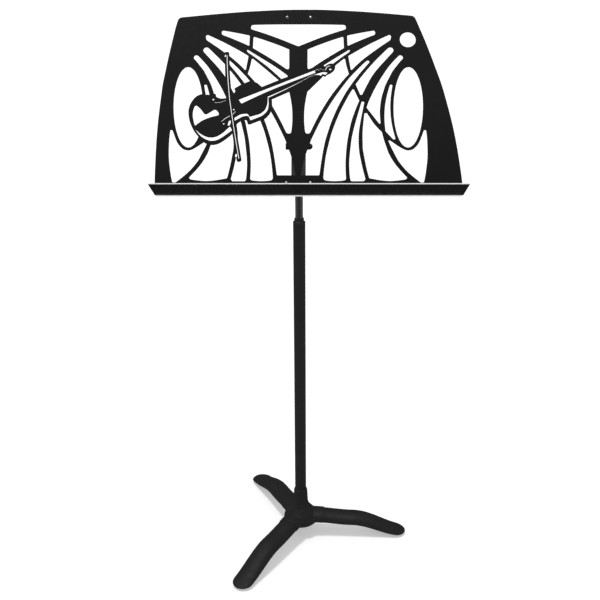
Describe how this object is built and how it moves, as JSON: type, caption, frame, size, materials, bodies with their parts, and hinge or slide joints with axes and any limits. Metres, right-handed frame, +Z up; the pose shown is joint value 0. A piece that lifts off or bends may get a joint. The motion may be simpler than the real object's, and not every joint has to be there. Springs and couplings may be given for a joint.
{
  "type": "music stand",
  "caption": "Orchestra music stand: pierced sheet-metal desk with a shelf ledge on a tilting head, sliding and turning shaft in a friction clutch tube, cast hub and low oval legs",
  "frame": {"origin": "on the floor, at the middle of the stand's box seen from above; the tube's axis stands 17.4 mm to its left and 4.2 mm in front", "axes": "+Z up along the tube, +X to the right as the player sees the desk, -Y towards the player"},
  "size_m": [0.5106, 0.374, 0.9898],
  "materials": {
    "desk_black": "fine matt powder coat",
    "powder_black": "satin powder coat",
    "cast_black": "satin powder coat on a casting",
    "shaft_steel": "dark drawn steel, semi-gloss",
    "bright_rivet": "bare aluminium",
    "edge_light": "white line along the shelf's edges, in the looks only",
    "dark_zinc": "black zinc",
    "nylon_black": "moulded nylon",
    "rubber_black": "matt rubber"
  },
  "bodies": {
    "base": {"hub": "cast_black", "leg_right": "powder_black", "leg_rear_left": "powder_black", "leg_front_left": "powder_black", "foot_pad_right": "rubber_black", "foot_pad_rear_left": "rubber_black", "foot_pad_front_left": "rubber_black", "leg_screw_right": "dark_zinc", "leg_screw_rear_left": "dark_zinc", "leg_screw_front_left": "dark_zinc", "outer_tube": "powder_black", "clutch_cap": "cast_black", "tube_plug": "dark_zinc", "pole_washer": "dark_zinc", "pole_bolt": "dark_zinc"},
    "clutch": {"clutch_sleeve": "nylon_black", "clutch_ring": "dark_zinc"},
    "shaft": {"inner_shaft": "shaft_steel", "tilt_head": "cast_black", "head_pin": "dark_zinc", "friction_disc_left": "nylon_black", "friction_disc_right": "nylon_black", "shaft_guide": "nylon_black"},
    "desk": {"desk_panel": "desk_black", "music_ledge": "desk_black", "top_brace": "desk_black", "hinge_bracket": "powder_black", "rivet_top_left": "bright_rivet", "rivet_top_right": "bright_rivet", "rivet_bottom_left": "bright_rivet", "rivet_bottom_right": "bright_rivet", "washer_left": "dark_zinc", "washer_right": "dark_zinc", "spring_washer": "dark_zinc", "tilt_bolt": "dark_zinc", "lock_nut": "dark_zinc"}
  },
  "joints": [
    {"name": "swivel", "type": "hinge", "parent": "base", "child": "clutch", "pos_m": [-0.01735, -0.00422, 0.62], "axis": [0, 0, 1], "continuous": true},
    {"name": "height_slide", "type": "slide", "parent": "clutch", "child": "shaft", "axis": [0, 0, 1], "range_m": [-0.038, 0.44]},
    {"name": "desk_tilt", "type": "hinge", "parent": "shaft", "child": "desk", "pos_m": [-0.01735, -0.00422, 0.7768], "axis": [-1, 0, 0], "range_deg": [-31, 59]}
  ]
}
